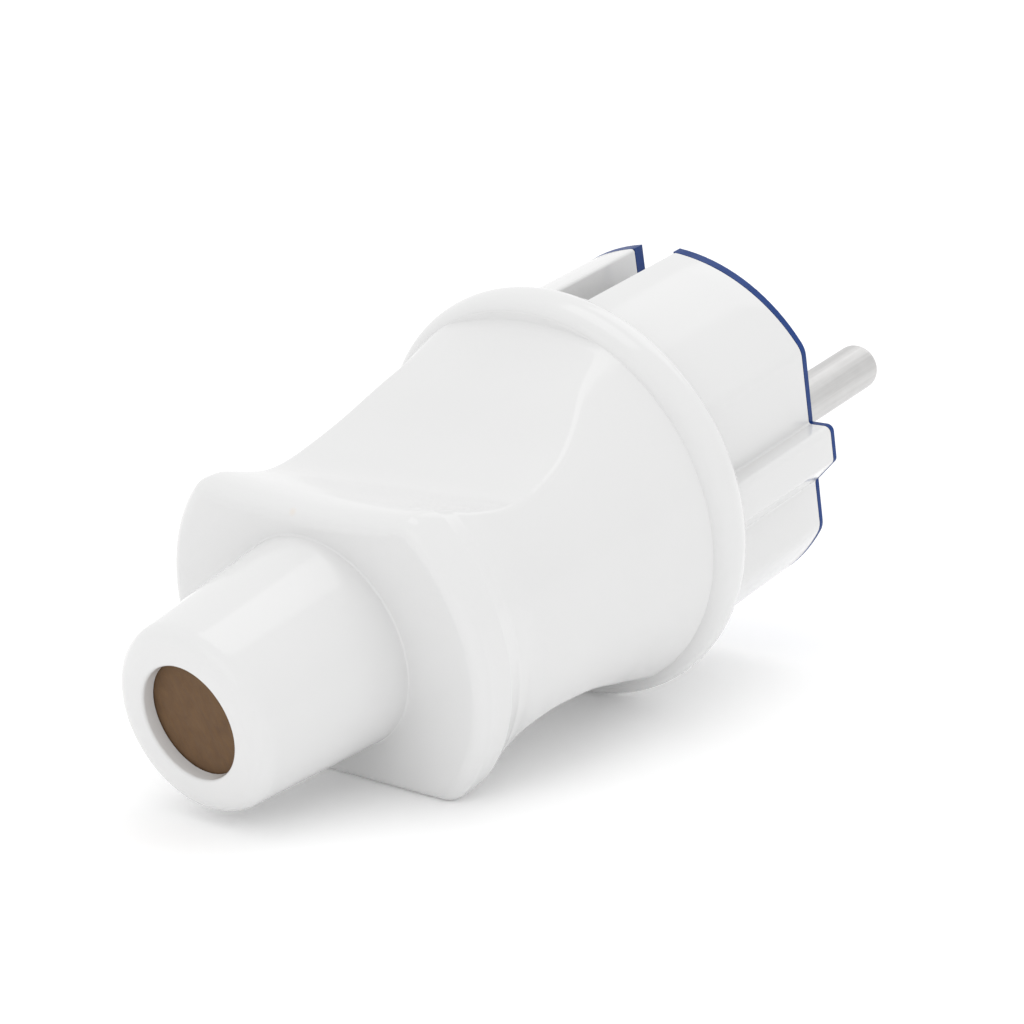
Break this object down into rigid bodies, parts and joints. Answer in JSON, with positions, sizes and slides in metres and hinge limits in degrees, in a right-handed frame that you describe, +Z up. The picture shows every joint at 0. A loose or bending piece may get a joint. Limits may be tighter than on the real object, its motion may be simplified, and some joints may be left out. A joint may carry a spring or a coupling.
{
  "type": "grounded plug",
  "caption": "Straight rewirable mains plug with a waisted white handle, rim bead, side earth slots, blue contact insert and round pins, lying on its side.",
  "frame": {"origin": "centre of the bounding box in plan, on the surface the plug lies on", "axes": "+X towards the pins (the plug's own axis is pitched up by 12.5 degrees in the XZ plane), +Z up, +Y to the plug's left seen from behind"},
  "size_m": [0.091, 0.042, 0.0431],
  "materials": {
    "white_moulding": "gloss",
    "blue_moulding": "satin",
    "nickel_plate": "satin",
    "zinc_steel": "satin",
    "bare_brass": "satin",
    "brown_card": "matte"
  },
  "bodies": {
    "root": {"housing": "white_moulding", "contact_insert": "blue_moulding", "line_pin": "nickel_plate", "neutral_pin": "nickel_plate", "line_terminal_screw": "zinc_steel", "neutral_terminal_screw": "zinc_steel", "earth_strip": "nickel_plate", "earth_clamp_washer": "zinc_steel", "earth_terminal_screw": "zinc_steel", "assembly_screw_upper": "zinc_steel", "assembly_screw_lower": "zinc_steel", "threaded_bush_upper": "bare_brass", "threaded_bush_lower": "bare_brass", "cord_clamp_bar": "zinc_steel", "cord_clamp_screw_left": "zinc_steel", "cord_clamp_screw_right": "zinc_steel", "cord_entry_disc": "brown_card"}
  },
  "joints": []
}
